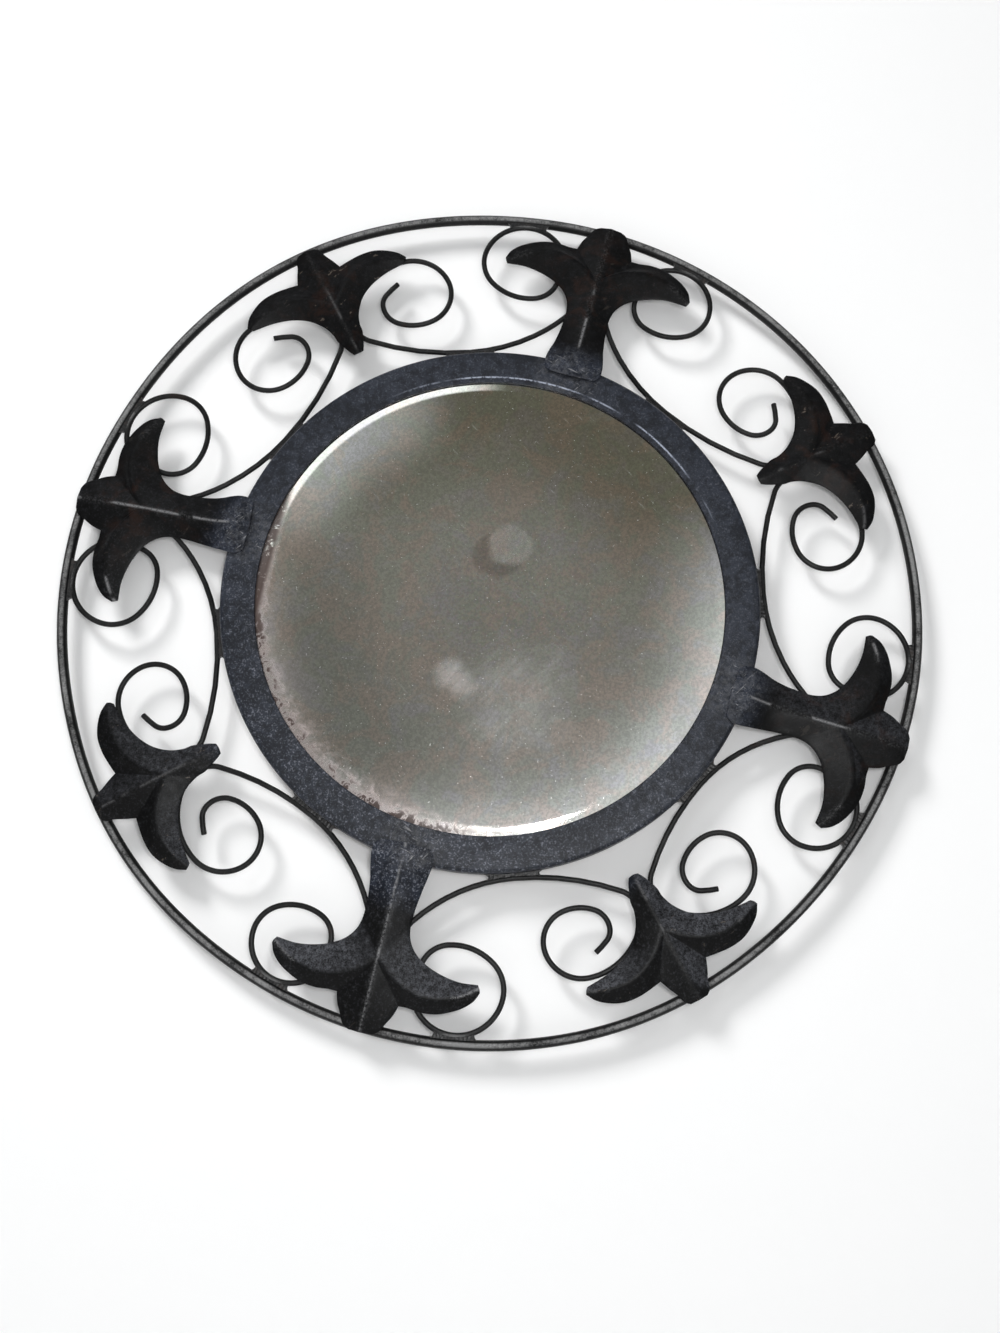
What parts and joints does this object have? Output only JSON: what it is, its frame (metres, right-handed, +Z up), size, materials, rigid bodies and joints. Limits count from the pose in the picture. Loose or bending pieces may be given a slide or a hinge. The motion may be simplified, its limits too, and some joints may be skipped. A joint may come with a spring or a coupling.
{
  "type": "flower wall mirror",
  "caption": "Round bevelled wall mirror in a flat painted rim, set in a wreath of iron scrolls and pressed fleur-de-lis flowers inside a round bar.",
  "frame": {"origin": "the centre of the mirror on the wall plane", "axes": "+Z up, +Y into the wall, -Y towards the viewer, +X to the viewer's right"},
  "size_m": [0.508, 0.0142, 0.5083],
  "materials": {
    "blackened_iron": "satin black paint",
    "textured_paint": "mottled charcoal texture paint",
    "weld_bead": "painted weld metal",
    "zinc_steel": "dull zinc",
    "mirror_glass": "silvered, ground bevel",
    "hardboard": "smooth hardboard"
  },
  "bodies": {
    "root": {"outer_ring": "blackened_iron", "mirror_rim": "textured_paint", "mirror_glass": "mirror_glass", "backing_board": "hardboard", "retaining_clip_1": "zinc_steel", "retaining_clip_2": "zinc_steel", "retaining_clip_3": "zinc_steel", "retaining_clip_4": "zinc_steel", "retaining_clip_5": "zinc_steel", "retaining_clip_6": "zinc_steel", "hanger_plate": "textured_paint", "long_flower_1": "textured_paint", "short_flower_1": "textured_paint", "long_flower_2": "textured_paint", "short_flower_2": "textured_paint", "long_flower_3": "textured_paint", "short_flower_3": "textured_paint", "long_flower_4": "textured_paint", "short_flower_4": "textured_paint", "scroll_1": "blackened_iron", "scroll_2": "blackened_iron", "scroll_3": "blackened_iron", "scroll_4": "blackened_iron", "scroll_5": "blackened_iron", "scroll_6": "blackened_iron", "scroll_7": "blackened_iron", "scroll_8": "blackened_iron", "belly_welds": "weld_bead", "loop_welds": "weld_bead", "petal_welds": "weld_bead"}
  },
  "joints": []
}
